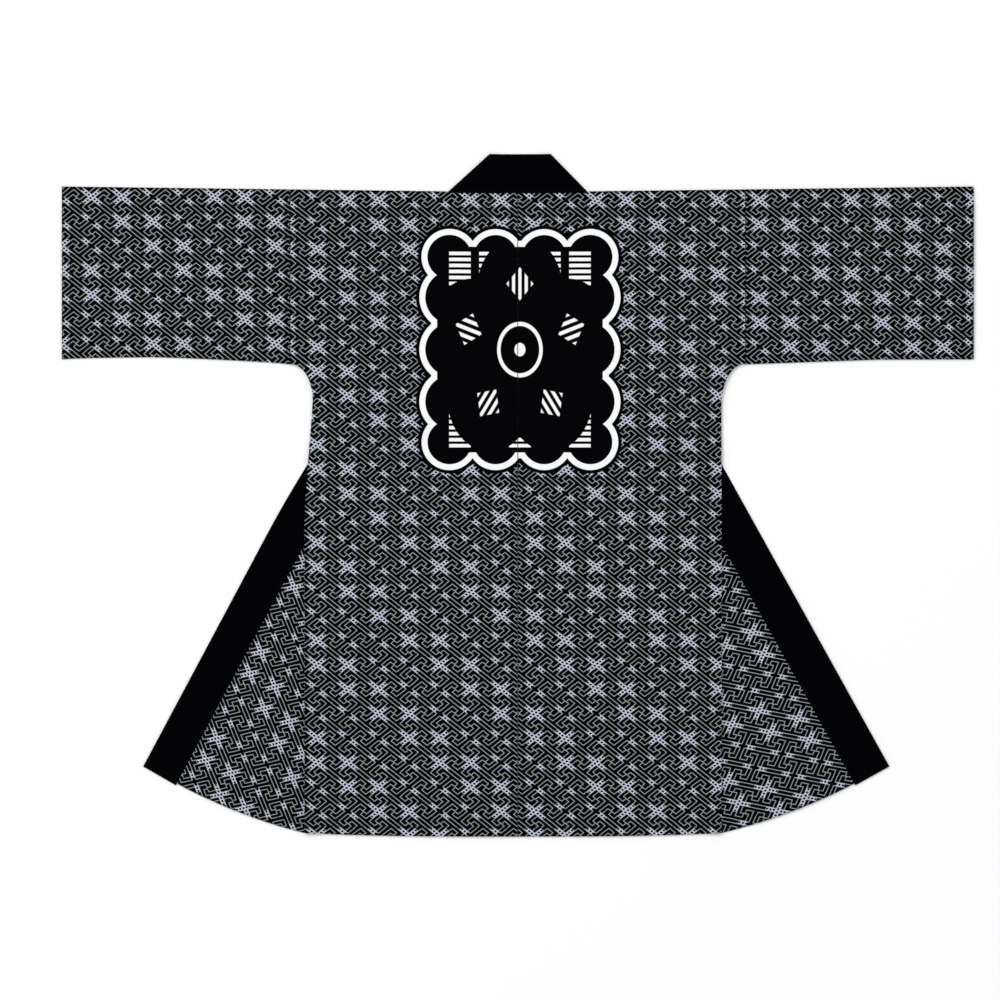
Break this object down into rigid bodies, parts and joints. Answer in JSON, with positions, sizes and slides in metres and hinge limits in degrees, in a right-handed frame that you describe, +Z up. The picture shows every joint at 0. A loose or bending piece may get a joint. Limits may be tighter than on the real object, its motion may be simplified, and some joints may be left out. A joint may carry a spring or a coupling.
{
  "type": "happi coat",
  "caption": "Happi coat with straight sleeves, a key-fret print and a plain black collar band, laid flat with its back up and its fronts opened outwards.",
  "frame": {"origin": "middle of the coat's bounding box, on the surface that it lies on", "axes": "+Z up out of the surface, +Y from hem to neck, +X towards the wearer's right sleeve; the back faces up"},
  "size_m": [1.276, 0.9553, 0.0051],
  "materials": {
    "cloth": "matte printed cotton, near-black with white key-fret lines and dotted crosses",
    "collar": "matte plain black cotton"
  },
  "bodies": {
    "root": {"body_left": "cloth", "body_right": "cloth", "sleeve_left": "cloth", "sleeve_right": "cloth", "collar": "collar"}
  },
  "joints": []
}
